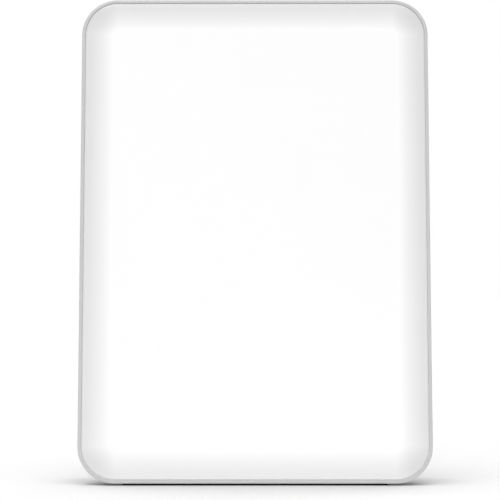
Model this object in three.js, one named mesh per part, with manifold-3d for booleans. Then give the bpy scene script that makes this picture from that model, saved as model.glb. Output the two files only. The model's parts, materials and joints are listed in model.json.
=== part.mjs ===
// Light therapy lamp: a slim panel that leans back on an easel leg, with a push button behind.
// Millimetres, +Z up, the lit front faces -Y. Pieces of the panel are drawn upright, with x across,
// z up from the bottom edge and y as the depth behind the lip of the bezel. The panel is then leaned back.

import * as THREE from 'three';
import { mergeVertices } from 'three/addons/utils/BufferGeometryUtils.js';
import Module from 'manifold-3d';

const wasm = await Module();
wasm.setup();

// Panel outline and stance
const panelWidth = 260;
const panelHeight = 363;
const cornerRadius = 27;
const leanDegrees = 9;
const legSplayDegrees = 9.5;

// Clearances, and how far a cut runs past the face that it opens
const seatGap = 0.3;
const playGap = 0.5;
const overrun = 6;

// Front bezel
const bezelDepth = 8.5;
const bezelWall = 1.8;
const bezelRounding = 1.8;
const lipWidth = 2.7;
const lipThickness = 2.2;
const lipChamfer = 0.3;
const hookReach = 0.8;
const hookThickness = 1.1;
const hookLength = 12;

// Diffuser
const seamWidth = 0.3;
const seamDepth = 0.6;
const diffuserWall = 2;
const flangeThickness = 1.5;
const crownRise = 3.5;
const crownWidth = 20.5;
const crownCornerRadius = 7.5;

// Gasket, light frame and reflector
const gasketThickness = 0.8;
const frameDepth = 4.8;
const frameRim = 1.4;
const frameFoot = 1.2;
const frameFootWidth = 3.2;
const slopeInset = 8;
const slopeWidth = 9;
const frameBossRadius = 3.2;
const frameBossHeight = 2.9;
const pilotDepth = 3.2;
const sheetThickness = 0.4;
const sheetHole = 5;
const sheetMargin = 0.4;

// LED plate and strips
const plateThickness = 1.5;
const plateMargin = 0.8;
const stripWidth = 14;
const stripThickness = 1;
const stripMargin = 6;
const ledSize = 3.5;
const ledHeight = 0.9;

// Rear cover
const partingStep = 1;
const coverDepth = 13.7;
const coverWall = 2.2;
const sweepWidth = 18;
const backCornerRadius = 14;
const tongueThickness = 1.6;
const wellRadius = 5;
const wellBore = 3.4;
const wellFloor = 1.6;
const ribThickness = 1.6;
const ribHeight = 3.5;
const ribClear = 4;
const ribOffset = 19;
const slotWidth = 2.4;
const slotLength = 26;
const slotPitch = 6.5;
const slotDrop = 45;

// Fasteners
const screwInset = 9;
const shankRadius = 1.3;
const headRadius = 2.7;
const headHeight = 1.6;
const smallShankRadius = 1;
const smallHeadRadius = 1.9;
const smallHeadHeight = 0.6;
const smallBossRadius = 2.6;
const smallScrewLength = 4.6;
const smallScrewInset = 3.5;

// Leg and its hinge
const hingeRise = 170;
const legThickness = 6;
const legTopWidth = 60;
const legEndWidth = 46;
const legTaperStart = 8;
const barrelRadius = 3.7;
const heelHeight = 9;
const heelCornerRadius = 5;
const tipHeight = 12;
const tipCornerRadius = 7;
const tipWrap = 0.3;
const tenonThickness = 2.8;
const tenonLength = 6;
const tenonMargin = 6;
const pocketDepth = 3.6;
const pocketMargin = 3;
const pocketRib = 2;
const pinRadius = 1.5;
const washerRadius = 3.3;
const washerThickness = 0.5;
const clipRadius = 2.6;
const clipThickness = 0.6;
const clipRelief = 1;
const pinEnd = 0.8;
const recessDepth = 8.3;
const recessWall = 1.8;
const recessCornerRadius = 4;

// Feet
const footInset = 33.4;
const footWidth = 5.4;
const footSink = 0.5;
const footProud = 0.3;

// Power button and its switch
const buttonSide = 50;
const buttonDrop = 63;
const buttonRadius = 8;
const buttonProud = 0.6;
const buttonDome = 0.5;
const buttonFlangeRadius = 9.4;
const buttonFlange = 0.9;
const buttonTravel = 1;
const buttonStem = 2.4;
const dimpleRadius = 12;
const dimpleDepth = 0.8;
const switchSize = 6;
const switchHeight = 2.6;
const plungerRadius = 1.6;
const plungerReach = 1.2;
const switchBoardWidth = 34;
const switchBoardHeight = 22;

// Inlet
const jackSide = 50;
const jackRise = 42;
const jackRadius = 4;
const jackLength = 9.4;
const jackBore = 2.8;
const jackBoreDepth = 8;
const jackPin = 1;
const jackPinDrop = 1.2;
const jackFlangeRadius = 5.6;
const jackFlange = 0.7;
const nutRadius = 5.4;
const nutThickness = 2.2;

// Driver board, its parts and the inner wiring
const boardClear = 6;
const boardRise = 120;
const boardWidth = 44;
const boardHeight = 90;
const boardThickness = 1.2;
const boardStandoff = 1.2;
const coilSize = 16;
const coilHeight = 5;
const canRadius = 4;
const canHeight = 4.6;
const chipSize = 8;
const chipHeight = 1.6;
const plugWidth = 9;
const plugDepth = 5;
const plugHeight = 3;
const plugSpread = 7;
const wireRadius = 0.9;
const wireBend = 12;

// Smoothness of round forms
const cornerSteps = 7;
const curveSteps = 6;
const roundSteps = 14;
const smallSteps = 8;
const buttonSteps = 24;
const slotSteps = 3;
const barrelSteps = 6;
const wireSteps = 4;

// Counts of repeated parts
const stripCount = 6;
const ledCount = 8;
const slotCount = 11;
const pocketCount = 4;
const sideHookCount = 3;
const endHookCount = 2;

// Depths that follow from what stacks behind what
const skirtInset = lipWidth + seamWidth;
const skirtInner = skirtInset + diffuserWall;
const flangeInset = bezelWall + seatGap;
const flangeFront = lipThickness + seatGap;
const flangeBack = flangeFront + flangeThickness;
const gasketFront = flangeBack + seatGap;
const gasketBack = gasketFront + gasketThickness;
const frameFront = gasketBack + seatGap;
const frameRimBack = frameFront + frameRim;
const frameBack = frameFront + frameDepth;
const plateFront = frameBack + seatGap;
const plateBack = plateFront + plateThickness;
const stripFront = frameBack - stripThickness;
const sheetBack = stripFront - seatGap;
const coverFront = bezelDepth + seatGap;
const coverBack = coverFront + coverDepth;
const coverInside = coverBack - coverWall;
const tongueInset = partingStep + coverWall;
const tongueInner = tongueInset + tongueThickness;
const tongueFront = frameRimBack + seatGap;
const plateInset = tongueInner + plateMargin;
const slopeEnd = slopeInset + slopeWidth;
const recessFloor = coverBack - recessDepth;
const boardFront = plateBack + boardStandoff;
const boardBack = boardFront + boardThickness;
const wellFront = plateBack + seatGap;
const wellSeat = wellFront + wellFloor;

// The stance: the leg is as long as it takes to reach the floor at its splay
const lean = THREE.MathUtils.degToRad(leanDegrees);
const legSplay = THREE.MathUtils.degToRad(legSplayDegrees);
const openAngle = lean + legSplay;
const floorDrop = bezelDepth * Math.sin(lean) + footProud;
const hingeDepth = recessFloor + seatGap + barrelRadius;
const hingeAboveFloor = hingeRise * Math.cos(lean) - hingeDepth * Math.sin(lean) + floorDrop;
const legRear = barrelRadius;
const legFront = barrelRadius - legThickness;
const legMiddle = (legRear + legFront) / 2;
const legReach = (hingeAboveFloor + legMiddle * Math.sin(legSplay)) / Math.cos(legSplay);
const legEnd = legReach - tipHeight;
const sideClearance = washerThickness + seatGap * 2;
const heelSweep = Math.hypot(heelHeight, barrelRadius);
const recessTop = hingeRise + heelSweep + playGap;
const recessSide = legTopWidth / 2 + sideClearance;
const ribAcross = (slotCount - 1) / 2 * slotPitch + slotWidth / 2 + ribClear;
const holeRadius = pinRadius + seatGap + (pinRadius + seatGap) * (1 - Math.cos(Math.PI / smallSteps));

// Where the feet end, and where the button, the inlet and the driver board sit behind the panel
const footEnd = panelWidth / 2 - footInset;
const slotRise = panelHeight - slotDrop;
const buttonAcross = panelWidth / 2 - buttonSide;
const buttonRise = panelHeight - buttonDrop;
const jackAcross = jackSide - panelWidth / 2;
const boardAcross = -(recessSide + recessWall + boardClear + boardWidth / 2);
const boardTop = boardRise + boardHeight / 2;
const boardBottom = boardRise - boardHeight / 2;
const ledPlugAcross = boardAcross - plugSpread;
const switchPlugAcross = boardAcross + plugSpread;
const connectorRise = boardTop + wireBend * 2;

// Turning three.js geometry into closed solids, and back

function signedVolume(position, index) {
  const a = new THREE.Vector3();
  const b = new THREE.Vector3();
  const c = new THREE.Vector3();
  let sum = 0;
  for (let i = 0; i < index.length; i += 3) {
    a.fromArray(position, index[i] * 3);
    b.fromArray(position, index[i + 1] * 3);
    c.fromArray(position, index[i + 2] * 3);
    sum += a.dot(b.cross(c));
  }
  return sum;
}

function solidOf(geometry) {
  geometry.deleteAttribute('normal');
  geometry.deleteAttribute('uv');
  const merged = mergeVertices(geometry);
  const position = merged.attributes.position.array;
  const all = merged.index.array;
  const kept = [];
  for (let i = 0; i < all.length; i += 3) {
    const [a, b, c] = [all[i], all[i + 1], all[i + 2]];
    if (a !== b && b !== c && c !== a) kept.push(a, b, c);
  }
  if (signedVolume(position, kept) < 0) kept.reverse();
  const mesh = new wasm.Mesh({
    numProp: 3,
    vertProperties: new Float32Array(position),
    triVerts: new Uint32Array(kept),
  });
  return new wasm.Manifold(mesh);
}

function geometryOf(solid) {
  const mesh = solid.getMesh();
  const geometry = new THREE.BufferGeometry();
  geometry.setAttribute('position', new THREE.BufferAttribute(mesh.vertProperties, 3));
  geometry.setIndex(new THREE.BufferAttribute(mesh.triVerts, 1));
  geometry.computeVertexNormals();
  return geometry;
}

function joined(solids) {
  return solids.reduce((whole, next) => whole.add(next));
}

function cut(solid, tools) {
  return tools.reduce((left, tool) => left.subtract(tool), solid);
}

// Basic solids in panel directions: x across, y depth, z up

function block([x0, x1], [y0, y1], [z0, z1]) {
  const geometry = new THREE.BoxGeometry(x1 - x0, y1 - y0, z1 - z0);
  geometry.translate((x0 + x1) / 2, (y0 + y1) / 2, (z0 + z1) / 2);
  return solidOf(geometry);
}

function centred(middle, width) {
  return [middle - width / 2, middle + width / 2];
}

function depthCylinder(radius, [x, z], [front, back], steps = roundSteps) {
  const geometry = new THREE.CylinderGeometry(radius, radius, back - front, steps);
  geometry.translate(x, (front + back) / 2, z);
  return solidOf(geometry);
}

function crossCylinder(radius, [x0, x1], y, z, steps = smallSteps) {
  const geometry = new THREE.CylinderGeometry(radius, radius, x1 - x0, steps);
  geometry.rotateZ(Math.PI / 2);
  geometry.translate((x0 + x1) / 2, y, z);
  return solidOf(geometry);
}

// A turned form about the depth direction. Its profile holds radius and depth, and starts and ends on the axis
function turned(profile, [x, z], steps = roundSteps) {
  const points = profile.map(([radius, depth]) => new THREE.Vector2(radius, depth));
  const geometry = new THREE.LatheGeometry(points, steps);
  geometry.translate(x, 0, z);
  return solidOf(geometry);
}

// A shape drawn in x and z, thick from front to back
function plate(shape, [front, back], curveSegments = slotSteps) {
  const geometry = new THREE.ExtrudeGeometry(shape, {
    depth: back - front,
    bevelEnabled: false,
    curveSegments,
  });
  const across = new THREE.Vector3(1, 0, 0);
  const up = new THREE.Vector3(0, 0, 1);
  const forward = new THREE.Vector3(0, -1, 0);
  geometry.applyMatrix4(new THREE.Matrix4().makeBasis(across, up, forward));
  geometry.translate(0, back, 0);
  return solidOf(geometry);
}

// A side profile drawn in y and z, wide from x0 to x1
function prism(shape, [x0, x1]) {
  const geometry = new THREE.ExtrudeGeometry(shape, {
    depth: x1 - x0,
    bevelEnabled: false,
    curveSegments: barrelSteps,
  });
  const depthward = new THREE.Vector3(0, 1, 0);
  const up = new THREE.Vector3(0, 0, 1);
  const across = new THREE.Vector3(1, 0, 0);
  geometry.applyMatrix4(new THREE.Matrix4().makeBasis(depthward, up, across));
  geometry.translate(x0, 0, 0);
  return solidOf(geometry);
}

function polygon(corners) {
  return new THREE.Shape(corners.map(([x, y]) => new THREE.Vector2(x, y)));
}

// A polygon whose corners are rounded, each by its own radius
function roundedPolygon(corners) {
  const shape = new THREE.Shape();
  corners.forEach(([x, y, radius], i) => {
    const corner = new THREE.Vector2(x, y);
    const before = new THREE.Vector2(...corners.at(i - 1));
    const after = new THREE.Vector2(...corners[(i + 1) % corners.length]);
    const start = before.sub(corner).setLength(radius).add(corner);
    const end = after.sub(corner).setLength(radius).add(corner);
    if (i) shape.lineTo(start.x, start.y);
    else shape.moveTo(start.x, start.y);
    if (radius) shape.quadraticCurveTo(corner.x, corner.y, end.x, end.y);
  });
  shape.closePath();
  return shape;
}

function slotShape(x, z, width, length) {
  const radius = width / 2;
  const reach = length / 2 - radius;
  const shape = new THREE.Shape();
  shape.absarc(x, z + reach, radius, 0, Math.PI, false);
  shape.absarc(x, z - reach, radius, Math.PI, Math.PI * 2, false);
  shape.closePath();
  return shape;
}

// Lofts through rounded rectangles that follow the outline of the panel

function ring(inset, depth, radius = cornerRadius - inset) {
  return { inset, depth, radius };
}

function ringPoints({ inset, depth, radius }) {
  const across = panelWidth / 2 - inset - radius;
  const top = panelHeight - inset - radius;
  const bottom = inset + radius;
  const centres = [[across, top], [-across, top], [-across, bottom], [across, bottom]];
  return centres.flatMap(([x, z], corner) =>
    Array.from({ length: cornerSteps + 1 }, (_, step) => {
      const angle = (corner + step / cornerSteps) * Math.PI / 2;
      return [x + radius * Math.cos(angle), depth, z + radius * Math.sin(angle)];
    }).flat());
}

function loft(rings, { closed = false } = {}) {
  const count = (cornerSteps + 1) * 4;
  const last = (rings.length - 1) * count;
  const bands = closed ? rings.length : rings.length - 1;
  const index = [];
  for (let band = 0; band < bands; band++) {
    const near = band * count;
    const far = ((band + 1) % rings.length) * count;
    for (let i = 0; i < count; i++) {
      const next = (i + 1) % count;
      index.push(near + i, near + next, far + next, near + i, far + next, far + i);
    }
  }
  if (!closed) {
    for (let i = 1; i < count - 1; i++) {
      index.push(0, i + 1, i, last, last + i, last + i + 1);
    }
  }
  const geometry = new THREE.BufferGeometry();
  geometry.setAttribute('position', new THREE.Float32BufferAttribute(rings.flatMap(ringPoints), 3));
  geometry.setIndex(index);
  return solidOf(geometry);
}

// Rings along a quarter ellipse, from its steep start to where it runs flat
function sweptRings(from, to, fromRadius, toRadius, startAngle = 0) {
  return Array.from({ length: curveSteps + 1 }, (_, step) => {
    const angle = THREE.MathUtils.lerp(startAngle, Math.PI / 2, step / curveSteps);
    const inward = 1 - Math.cos(angle);
    const inset = THREE.MathUtils.lerp(from.inset, to.inset, inward);
    const depth = THREE.MathUtils.lerp(from.depth, to.depth, Math.sin(angle));
    return ring(inset, depth, THREE.MathUtils.lerp(fromRadius, toRadius, inward));
  });
}

// Places that more than one piece shares

const cornerInset = cornerRadius - (cornerRadius - screwInset) * Math.SQRT1_2;
const plateTopShare = 0.18;
const plateBottomShare = 0.3;

function mirroredSpots(x, z) {
  return [[x, z], [-x, z]];
}

const coverSpots = [
  ...mirroredSpots(panelWidth / 2 - cornerInset, cornerInset),
  ...mirroredSpots(panelWidth / 2 - cornerInset, panelHeight - cornerInset),
  ...mirroredSpots(panelWidth / 2 - screwInset, panelHeight / 2),
];

const plateSpots = [
  ...mirroredSpots(panelWidth * plateTopShare, panelHeight - screwInset),
  ...mirroredSpots(panelWidth * plateBottomShare, screwInset),
];

function boardSpots(x, z, width, height) {
  const across = width / 2 - smallScrewInset;
  const up = height / 2 - smallScrewInset;
  return [[x - across, z + up], [x + across, z + up], [x - across, z - up], [x + across, z - up]];
}

const driverSpots = boardSpots(boardAcross, boardRise, boardWidth, boardHeight);
const switchSpots = boardSpots(buttonAcross, buttonRise, switchBoardWidth, switchBoardHeight)
  .filter((_, i) => i === 0 || i === 3);
const buttonSpot = [buttonAcross, buttonRise];
const jackSpot = [jackAcross, jackRise];

const stripPitch = (panelWidth - slopeEnd * 2) / stripCount;
const stripHeight = panelHeight - slopeEnd * 2 - stripMargin * 2;
const ledPitch = stripHeight / ledCount;
const stripPlaces = Array.from({ length: stripCount }, (_, i) => (i - (stripCount - 1) / 2) * stripPitch);
const ledPlaces = Array.from(
  { length: ledCount },
  (_, i) => panelHeight / 2 + (i - (ledCount - 1) / 2) * ledPitch);

// Front bezel: a moulded ring with a lip in front and snap hooks behind the light frame
function frontBezel() {
  const rounding = Array.from({ length: curveSteps + 1 }, (_, step) => {
    const angle = step / curveSteps * Math.PI / 2;
    return ring(bezelRounding * (1 - Math.cos(angle)), bezelRounding * (1 - Math.sin(angle)));
  });
  const body = loft([
    ring(0, bezelDepth),
    ...rounding,
    ring(lipWidth - lipChamfer, 0),
    ring(lipWidth, lipChamfer),
    ring(lipWidth, lipThickness),
    ring(bezelWall, lipThickness),
    ring(bezelWall, bezelDepth),
  ], { closed: true });
  return cut(body.add(snapHooks()), [footPocket()]);
}

function snapHooks() {
  const root = bezelWall / 2;
  const front = frameRimBack + seatGap;
  const hookRing = loft([
    ring(root, front),
    ring(bezelWall + hookReach, front),
    ring(bezelWall + hookReach, front + seatGap),
    ring(bezelWall, front + hookThickness),
    ring(root, front + hookThickness),
  ], { closed: true });
  const depths = [0, bezelDepth + overrun];
  const sides = spread(sideHookCount, panelHeight).map((z) =>
    block([-panelWidth, panelWidth], depths, centred(z, hookLength)));
  const ends = spread(endHookCount, panelWidth).map((x) =>
    block(centred(x - panelWidth / 2, hookLength), depths, [-overrun, panelHeight + overrun]));
  return hookRing.intersect(joined([...sides, ...ends]));
}

function spread(count, length) {
  return Array.from({ length: count }, (_, i) => (i + 1) * length / (count + 1));
}

// Rubber feet: two strips, end to end in one groove of the bezel and cut level with the floor
function footPocket() {
  return block(
    [-footEnd - seatGap, footEnd + seatGap],
    centred(footMiddle(), footWidth + seatGap * 2),
    [-overrun, footSink + seatGap]);
}

function footMiddle() {
  return (bezelRounding + bezelDepth) / 2;
}

function floorAt(depth) {
  return (depth * Math.sin(lean) - floorDrop) / Math.cos(lean);
}

function foot(side) {
  const [front, back] = centred(footMiddle(), footWidth);
  const profile = polygon([
    [front, footSink],
    [front, floorAt(front)],
    [back, floorAt(back)],
    [back, footSink],
  ]);
  const near = seatGap / 2;
  return prism(profile, side > 0 ? [near, footEnd] : [-footEnd, -near]);
}

// Diffuser: an opal pillow whose edge turns down into the seam, with a flange trapped behind the lip
function diffuser() {
  const flat = skirtInset + crownWidth;
  const outer = sweptRings(
    { inset: skirtInset, depth: seamDepth },
    { inset: flat, depth: -crownRise },
    cornerRadius - skirtInset,
    crownCornerRadius);
  const inner = sweptRings(
    { inset: skirtInner, depth: seamDepth + diffuserWall / 2 },
    { inset: flat, depth: diffuserWall - crownRise },
    cornerRadius - skirtInner,
    crownCornerRadius);
  return loft([
    ...outer.reverse(),
    ring(skirtInset, flangeFront),
    ring(flangeInset, flangeFront),
    ring(flangeInset, flangeBack),
    ring(skirtInner, flangeBack),
    ...inner,
  ]);
}

function diffuserGasket() {
  const outerInset = flangeInset + seatGap;
  const innerInset = skirtInner - seatGap;
  return loft([
    ring(outerInset, gasketFront),
    ring(innerInset, gasketFront),
    ring(innerInset, gasketBack),
    ring(outerInset, gasketBack),
  ], { closed: true });
}

// Light frame: the white moulding that slopes light inward and carries the plate on bosses
function lightFrame() {
  const body = loft([
    ring(flangeInset, frameFront),
    ring(slopeInset, frameFront),
    ring(slopeEnd, frameBack - frameFoot),
    ring(slopeEnd, frameBack),
    ring(slopeEnd - frameFootWidth, frameBack),
    ring(slopeInset, frameRimBack),
    ring(flangeInset, frameRimBack),
  ], { closed: true });
  const spots = [...coverSpots, ...plateSpots];
  const bosses = spots.map((spot) =>
    depthCylinder(frameBossRadius, spot, [frameBack - frameBossHeight, frameBack]));
  const pilots = spots.map((spot) =>
    depthCylinder(shankRadius + seatGap, spot, [frameBack - pilotDepth, frameBack + overrun], smallSteps));
  return cut(joined([body, ...bosses]), pilots);
}

// Reflector sheet, with a window for each LED
function reflectorSheet() {
  const inset = slopeEnd + sheetMargin;
  const sheet = loft([ring(inset, sheetBack - sheetThickness), ring(inset, sheetBack)]);
  const windows = stripPlaces.flatMap((x) =>
    ledPlaces.map((z) =>
      block(centred(x, sheetHole), centred(sheetBack, overrun), centred(z, sheetHole))));
  return sheet.subtract(joined(windows));
}

function ledStrip(x) {
  const board = block(
    centred(x, stripWidth),
    [stripFront, stripFront + stripThickness],
    centred(panelHeight / 2, stripHeight));
  const leds = ledPlaces.map((z) =>
    block(centred(x, ledSize), [stripFront - ledHeight, stripFront], centred(z, ledSize)));
  return joined([board, ...leds]);
}

function ledBackplate() {
  const sheet = loft([ring(plateInset, plateFront), ring(plateInset, plateBack)]);
  const depths = [plateFront - overrun, plateBack + overrun];
  const holes = [...coverSpots, ...plateSpots].map((spot) =>
    depthCylinder(shankRadius + seatGap, spot, depths, smallSteps));
  return cut(sheet, holes);
}

function ledConnector() {
  return block(
    centred(ledPlugAcross, plugWidth),
    [plateBack + seatGap, plateBack + seatGap + plugHeight],
    [connectorRise, connectorRise + plugDepth]);
}

// Rear cover: a swept dish with a tongue inside the bezel, and all that is moulded into it
function coverOutside() {
  return sweptRings(
    { inset: partingStep, depth: coverFront },
    { inset: partingStep + sweepWidth, depth: coverBack },
    cornerRadius - partingStep,
    backCornerRadius);
}

function coverShell() {
  const innerWidth = sweepWidth - coverWall;
  const inner = sweptRings(
    { inset: tongueInset, depth: coverFront },
    { inset: partingStep + sweepWidth, depth: coverInside },
    cornerRadius - tongueInset,
    backCornerRadius,
    Math.acos(1 - tongueThickness / innerWidth));
  return loft([
    ...coverOutside().reverse(),
    ring(tongueInset, coverFront),
    ring(tongueInset, tongueFront),
    ring(tongueInner, tongueFront),
    ...inner,
  ]);
}

function recessOutline(margin) {
  const side = recessSide + margin;
  const taper = (legTopWidth - legEndWidth) / 2 / (legReach - legTaperStart);
  const start = hingeRise - legTaperStart;
  const end = side - taper * (start + overrun);
  const radius = recessCornerRadius + margin;
  return roundedPolygon([
    [side, recessTop + margin, radius],
    [-side, recessTop + margin, radius],
    [-side, start, 0],
    [-end, -overrun, 0],
    [end, -overrun, 0],
    [side, start, 0],
  ]);
}

function coverRibs() {
  const depths = [coverInside - ribHeight, coverInside + coverWall / 2];
  const above = recessTop + recessWall + ribOffset;
  const upright = [-ribAcross, ribAcross].map((x) =>
    block(centred(x, ribThickness), depths, [above, panelHeight]));
  const rises = [jackRise + ribOffset, above, buttonRise - switchBoardHeight / 2 - ribOffset];
  const level = rises.map((z) =>
    block([-panelWidth / 2, panelWidth / 2], depths, centred(z, ribThickness)));
  return [...upright, ...level];
}

function rearCover() {
  const outside = coverOutside();
  const dish = loft([...outside.reverse(), ring(partingStep, tongueFront)]);
  const tub = plate(recessOutline(recessWall), [recessFloor - recessWall, coverBack]);
  const wells = coverSpots.map((spot) => depthCylinder(wellRadius, spot, [wellFront, coverBack]));
  const screwBosses = [...driverSpots, ...switchSpots].map((spot) =>
    depthCylinder(smallBossRadius, spot, [boardBack + seatGap, coverBack - coverWall / 2], smallSteps));
  const moulded = joined([tub, ...wells, ...screwBosses, ...coverRibs()]).intersect(dish);
  return cut(coverShell().add(moulded), coverCuts());
}

function coverCuts() {
  const past = coverBack + overrun;
  const recess = plate(recessOutline(0), [recessFloor, past]);
  const bores = coverSpots.flatMap((spot) => [
    depthCylinder(wellBore, spot, [wellSeat, past]),
    depthCylinder(shankRadius + seatGap, spot, [wellFront - overrun, past], smallSteps),
  ]);
  const pilots = [...driverSpots, ...switchSpots].map((spot) =>
    depthCylinder(smallShankRadius + seatGap, spot, [boardBack, coverInside], smallSteps));
  const slots = spreadSlots().map((x) =>
    plate(slotShape(x, slotRise, slotWidth, slotLength), [coverInside - ribHeight - overrun, past]));
  const pinEnds = recessSide + recessWall + overrun;
  const pinHole = crossCylinder(holeRadius, [-pinEnds, pinEnds], hingeDepth, hingeRise);
  return [
    recess,
    ...bores,
    ...pilots,
    ...slots,
    pinHole,
    ...[-1, 1].map(clipPocket),
    depthCylinder(dimpleRadius, buttonSpot, [coverBack - dimpleDepth, past]),
    depthCylinder(buttonRadius + playGap, buttonSpot, [boardBack, past]),
    depthCylinder(jackFlangeRadius + seatGap, jackSpot, [coverBack - dimpleDepth, past]),
    depthCylinder(jackRadius + seatGap, jackSpot, [boardBack, past]),
  ];
}

function spreadSlots() {
  return Array.from({ length: slotCount }, (_, i) => (i - (slotCount - 1) / 2) * slotPitch);
}

// Where the inside of the back gives way to a pin clip
function clipPocket(side) {
  const near = recessSide + recessWall;
  const far = near + seatGap * 3 + clipThickness + pinEnd;
  const reach = clipRadius + playGap;
  return block(
    side > 0 ? [near, far] : [-far, -near],
    [hingeDepth, coverInside + clipRelief],
    centred(hingeRise, reach * 2));
}

// Hinge hardware
function hingePin() {
  const half = recessSide + recessWall + seatGap + clipThickness + pinEnd;
  return crossCylinder(pinRadius, [-half, half], hingeDepth, hingeRise);
}

function pinRing(radius, side, near, thickness) {
  const span = side > 0 ? [near, near + thickness] : [-near - thickness, -near];
  const bore = [-panelWidth, panelWidth];
  return crossCylinder(radius, span, hingeDepth, hingeRise, roundSteps)
    .subtract(crossCylinder(holeRadius, bore, hingeDepth, hingeRise));
}

function hingeWasher(side) {
  return pinRing(washerRadius, side, legTopWidth / 2 + seatGap, washerThickness);
}

function pinClip(side) {
  return pinRing(clipRadius, side, recessSide + recessWall + seatGap, clipThickness);
}

// Leg, drawn hanging straight down from its hinge axis, which is the origin of its group
function legHalfWidth(drop) {
  const share = (drop - legTaperStart) / (legReach - legTaperStart);
  return THREE.MathUtils.lerp(legTopWidth, legEndWidth, Math.max(share, 0)) / 2;
}

function legSide() {
  const neck = Math.sqrt(barrelRadius ** 2 - legFront ** 2);
  const heelFront = (barrelRadius - heelHeight * Math.sin(openAngle)) / Math.cos(openAngle);
  const shape = new THREE.Shape();
  shape.moveTo(legRear, heelHeight);
  shape.lineTo(legRear, -legEnd);
  shape.lineTo(legFront, -legEnd);
  shape.lineTo(legFront, -neck);
  shape.absarc(0, 0, barrelRadius, Math.atan2(-neck, legFront), Math.PI - openAngle, true);
  shape.lineTo(-heelFront, heelHeight);
  shape.closePath();
  return shape;
}

function legFace() {
  const top = legHalfWidth(0);
  const end = legHalfWidth(legEnd);
  return roundedPolygon([
    [top, heelHeight, heelCornerRadius],
    [-top, heelHeight, heelCornerRadius],
    [-top, -legTaperStart, 0],
    [-end, -legEnd, 0],
    [end, -legEnd, 0],
    [top, -legTaperStart, 0],
  ]);
}

function legPocket(i) {
  const first = legTaperStart + pocketMargin;
  const pitch = (legEnd - pocketMargin - first + pocketRib) / pocketCount;
  const top = first + i * pitch;
  const bottom = top + pitch - pocketRib;
  const topHalf = legHalfWidth(top) - pocketMargin;
  const bottomHalf = legHalfWidth(bottom) - pocketMargin;
  const shape = roundedPolygon([
    [topHalf, -top, pocketRib],
    [-topHalf, -top, pocketRib],
    [-bottomHalf, -bottom, pocketRib],
    [bottomHalf, -bottom, pocketRib],
  ]);
  return plate(shape, [legFront - overrun, legFront + pocketDepth]);
}

function tenon(margin) {
  const half = legHalfWidth(legEnd) - tenonMargin;
  return block(
    [-half - margin, half + margin],
    centred(legMiddle, tenonThickness + margin * 2),
    [-legEnd - tenonLength - margin, -legEnd + pocketMargin / 2]);
}

function standLeg() {
  const side = legTopWidth / 2 + overrun;
  const slab = plate(legFace(), [legFront - barrelRadius, legRear + overrun]);
  const body = prism(legSide(), [-side, side]).intersect(slab);
  const pockets = Array.from({ length: pocketCount }, (_, i) => legPocket(i));
  const bore = crossCylinder(holeRadius, [-side, side], 0, 0);
  return cut(body.add(tenon(0)), [...pockets, bore]);
}

function legTip() {
  const front = legFront - tipWrap;
  const back = legRear + tipWrap;
  const level = (y) => -legReach - (y - legMiddle) * Math.tan(legSplay);
  const topHalf = legHalfWidth(legEnd);
  const endHalf = legHalfWidth(legReach);
  const outline = roundedPolygon([
    [topHalf, -legEnd - seatGap, 0],
    [-topHalf, -legEnd - seatGap, 0],
    [-endHalf, level(back), tipCornerRadius],
    [endHalf, level(back), tipCornerRadius],
  ]);
  const floor = prism(polygon([
    [front - overrun, -legReach - legTopWidth],
    [back + overrun, -legReach - legTopWidth],
    [back + overrun, level(back + overrun)],
    [front - overrun, level(front - overrun)],
  ]), [-legTopWidth, legTopWidth]);
  return cut(plate(outline, [front, back]), [floor, tenon(seatGap)]);
}

// Power button with what it presses
function powerButton() {
  const top = coverBack + buttonProud;
  const flangeBackFace = coverInside - playGap;
  const flangeFrontFace = flangeBackFace - buttonFlange;
  const domeSteps = curveSteps / 2;
  const dome = Array.from({ length: domeSteps + 1 }, (_, step) => {
    const angle = step / domeSteps * Math.PI / 2;
    return [buttonRadius * Math.cos(angle), top - buttonDome + buttonDome * Math.sin(angle)];
  });
  return turned([
    [0, stemFront()],
    [buttonStem, stemFront()],
    [buttonStem, flangeFrontFace],
    [buttonFlangeRadius, flangeFrontFace],
    [buttonFlangeRadius, flangeBackFace],
    [buttonRadius, flangeBackFace],
    ...dome.slice(0, -1),
    [0, top],
  ], buttonSpot, buttonSteps);
}

function switchFront() {
  return boardBack + seatGap;
}

function switchBack() {
  return switchFront() + switchHeight;
}

function stemFront() {
  return switchBack() + plungerReach + seatGap;
}

function tactSwitch() {
  const body = block(
    centred(buttonAcross, switchSize),
    [switchFront(), switchBack()],
    centred(buttonRise, switchSize));
  const bore = depthCylinder(
    plungerRadius + seatGap + playGap / 2,
    buttonSpot,
    [switchBack() - buttonTravel - seatGap * 2, switchBack() + overrun],
    smallSteps);
  return body.subtract(bore);
}

function switchPlunger() {
  const front = switchBack() - seatGap;
  return depthCylinder(plungerRadius, buttonSpot, [front, switchBack() + plungerReach], smallSteps);
}

function circuitBoard(x, z, width, height, spots) {
  const board = block(centred(x, width), [boardFront, boardBack], centred(z, height));
  const holes = spots.map((spot) =>
    depthCylinder(smallShankRadius + seatGap, spot, [boardFront - overrun, boardBack + overrun], smallSteps));
  return cut(board, holes);
}

function switchBoard() {
  const board = circuitBoard(buttonAcross, buttonRise, switchBoardWidth, switchBoardHeight, switchSpots);
  const [left] = centred(buttonAcross, switchBoardWidth);
  const plug = block(
    [left, left + plugDepth],
    [boardBack, boardBack + plugHeight],
    centred(buttonRise - plugWidth / 2, plugWidth));
  return board.add(plug);
}

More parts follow.
